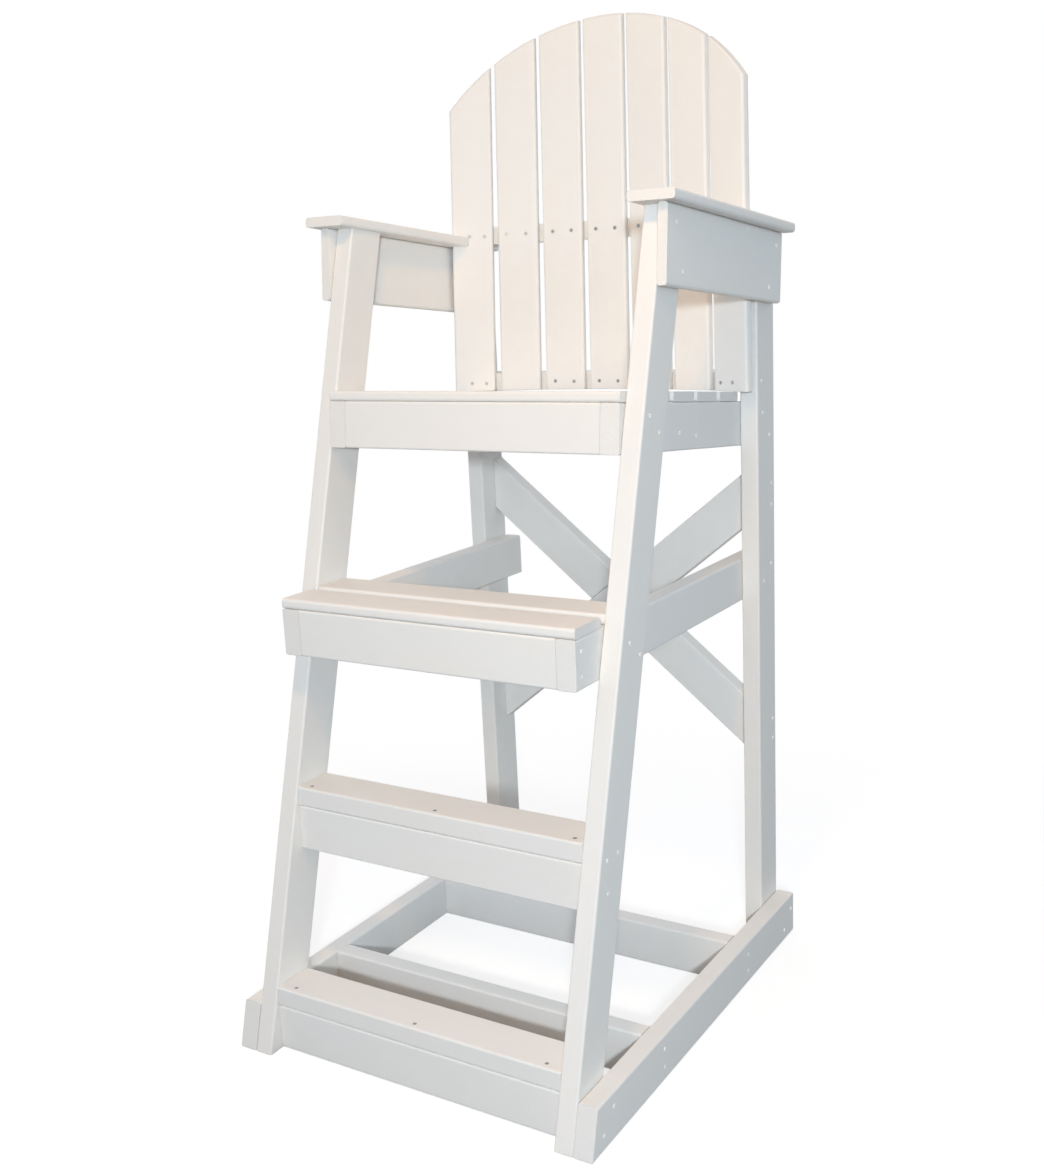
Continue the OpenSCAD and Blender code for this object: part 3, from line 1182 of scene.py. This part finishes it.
@dataclass(frozen=True)
class Lamp:
    """A round lamp in the studio."""

    name: str
    place: Vector
    radius: float
    colour: Colour
    power: float

    def build(self) -> bpy.types.Object:
        """Hangs the lamp.

        Returns:
            The lamp.
        """
        data = bpy.data.lights.new(self.name, "POINT")
        data.energy = self.power
        data.color = self.colour
        data.shadow_soft_size = self.radius
        lamp = bpy.data.objects.new(self.name, data)
        lamp.location = self.place
        bpy.context.scene.collection.objects.link(lamp)
        return lamp


WARM_LAMP = Lamp("warm_lamp", Vector((0.55, -1.3, 2.7)), radius=0.12,
                 colour=(1.0, 0.58, 0.20), power=45.0)
COOL_LAMP = Lamp("cool_lamp", Vector((2.01, -3.31, 1.75)), radius=0.11,
                 colour=(0.82, 0.92, 1.0), power=320.0)


@dataclass(frozen=True)
class Viewpoint:
    """The camera, by the chair's right front at about seat height."""

    eye: Vector = Vector((1.3785, -2.1781, 1.4246))
    azimuth: float = 32.143
    pitch: float = 12.619
    roll: float = -2.707
    lens: float = 41.3
    sensor: float = 36.0

    def build(self) -> bpy.types.Object:
        """Sets up the camera and makes it the scene's.

        Returns:
            The camera.
        """
        data = bpy.data.cameras.new("viewpoint")
        data.lens = self.lens
        data.sensor_width = self.sensor
        data.sensor_fit = "AUTO"
        camera = bpy.data.objects.new("viewpoint", data)
        bpy.context.scene.collection.objects.link(camera)
        tilt = Euler((math.radians(90 - self.pitch), 0, math.radians(self.azimuth))).to_matrix()
        turn = tilt @ Matrix.Rotation(math.radians(self.roll), 3, "Z")
        camera.matrix_world = Matrix.Translation(self.eye) @ turn.to_4x4()
        bpy.context.scene.camera = camera
        return camera


def main() -> None:
    """Builds the chair's looks and the studio, and reports each piece."""
    logging.basicConfig(level=logging.INFO, format="%(message)s")
    screws = ScrewHead()
    seat_boards = tuple(f"seat_slat_{number}" for number in range(1, 6))
    footrest_boards = ("footrest_board_front", "footrest_board_rear")
    for part in (Base(), Ladder(), RearLegs(), Footrest(),
                 SubAssembly("footrest_boards", footrest_boards, LIGHT), Seat(),
                 SubAssembly("seat_boards", seat_boards, LIGHT), BackRails(), Back(),
                 Arms(), Brace()):
        part.build(screws)
    Surround().build()
    log.info("%s laid", Floor().build().name)
    for lamp in (WARM_LAMP, COOL_LAMP):
        log.info("%s hung", lamp.build().name)
    log.info("%s set up", Viewpoint().build().name)
    bpy.context.scene.view_settings.view_transform = "Standard"


if __name__ == "__main__":
    main()
